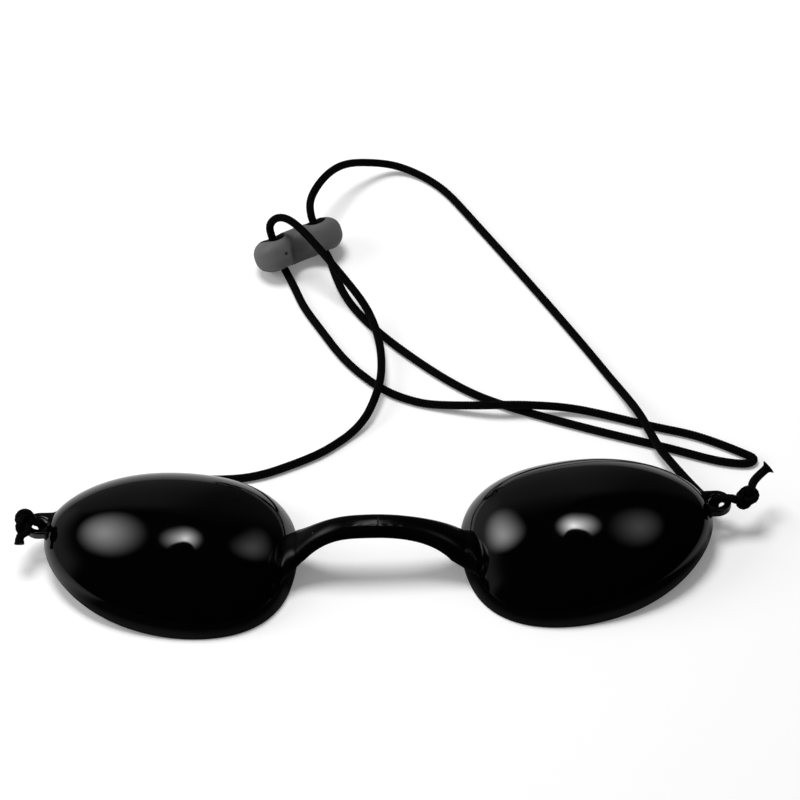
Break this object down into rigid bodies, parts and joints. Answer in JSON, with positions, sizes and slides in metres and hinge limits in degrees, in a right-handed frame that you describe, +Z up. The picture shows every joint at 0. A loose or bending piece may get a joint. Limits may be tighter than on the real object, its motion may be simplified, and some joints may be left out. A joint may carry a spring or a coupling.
{
  "type": "blackout goggles",
  "caption": "Opaque oval eye cups on a soft arched nose strap, with a knotted elastic head cord drawn through a sliding lock.",
  "frame": {"origin": "on the ground below the middle of the nose bridge, midway between the cups, with the part lying on its cup rims", "axes": "+X to the right as the goggles lie, from the left cup to the right cup; +Y from the cheek side to the brow side, where the cord lies; +Z up, out of the wearer's face"},
  "size_m": [0.1437, 0.1338, 0.0149],
  "materials": {
    "cup_shell": "polished black, opaque",
    "strap_rubber": "satin black, soft",
    "lock_rubber": "satin dark grey, soft",
    "elastic": "braided black elastic"
  },
  "bodies": {
    "bridge": {"nose_bridge": "strap_rubber", "left_cord_run": "elastic", "adjustment_loop": "elastic", "right_cord_run": "elastic"},
    "left_cup": {"left_eye_cup": "cup_shell", "left_tab_cord": "elastic", "left_cord_knot": "elastic", "left_cord_tail": "elastic"},
    "right_cup": {"right_eye_cup": "cup_shell", "right_tab_cord": "elastic", "right_cord_knot": "elastic", "right_cord_tail": "elastic"},
    "lock": {"cord_lock": "lock_rubber"}
  },
  "joints": [
    {"name": "left_cup_flex", "type": "hinge", "parent": "bridge", "child": "left_cup", "pos_m": [-0.0146, -0.003, 0.0065], "axis": [0, -1, 0], "range_deg": [-15, 25], "stiffness_Nm_per_rad": 0.01, "deforming": ["nose_bridge", "left_cord_run"]},
    {"name": "right_cup_flex", "type": "hinge", "parent": "bridge", "child": "right_cup", "pos_m": [0.0146, -0.003, 0.0065], "axis": [0, 1, 0], "range_deg": [-15, 25], "stiffness_Nm_per_rad": 0.01, "deforming": ["nose_bridge", "right_cord_run"]},
    {"name": "cord_lock_slide", "type": "slide", "parent": "bridge", "child": "lock", "axis": [-0.3078, 0.5332, 0.788], "range_m": [0, 0.003]}
  ]
}
